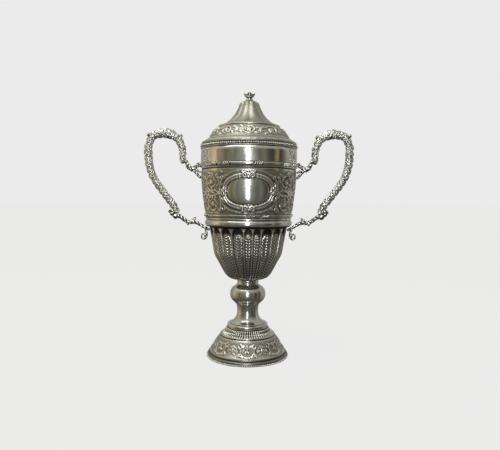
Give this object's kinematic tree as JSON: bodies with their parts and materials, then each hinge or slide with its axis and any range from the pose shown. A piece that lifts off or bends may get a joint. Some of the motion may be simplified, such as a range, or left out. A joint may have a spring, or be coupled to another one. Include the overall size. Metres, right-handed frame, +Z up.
{
  "type": "covered presentation cup",
  "caption": "Two-handled silver presentation cup with a lift-off lid: hollow cup with cartouche and feathered panels on a knopped stem and hollow domed foot.",
  "frame": {"origin": "on the cup's axis, at the plane the foot rests on", "axes": "+Z up along the cup's axis, front cartouche towards -Y, handles along X"},
  "size_m": [0.368, 0.1706, 0.4568],
  "materials": {
    "foot_silver": "chased silver, worn bright on high parts, dark in the recesses",
    "stem_silver": "turned silver, polished",
    "body_silver": "polished neck and cartouche, matted and chased frieze, dark in the recesses",
    "handle_silver": "cast silver, bright with dark recesses",
    "lid_silver": "satin fluted cone, chased band, beaded rim",
    "finial_silver": "cast silver, bright"
  },
  "bodies": {
    "root": {"foot": "foot_silver", "stem": "stem_silver", "cup_body": "body_silver", "handle_left": "handle_silver", "handle_right": "handle_silver", "lid": "lid_silver", "finial": "finial_silver"}
  },
  "joints": []
}
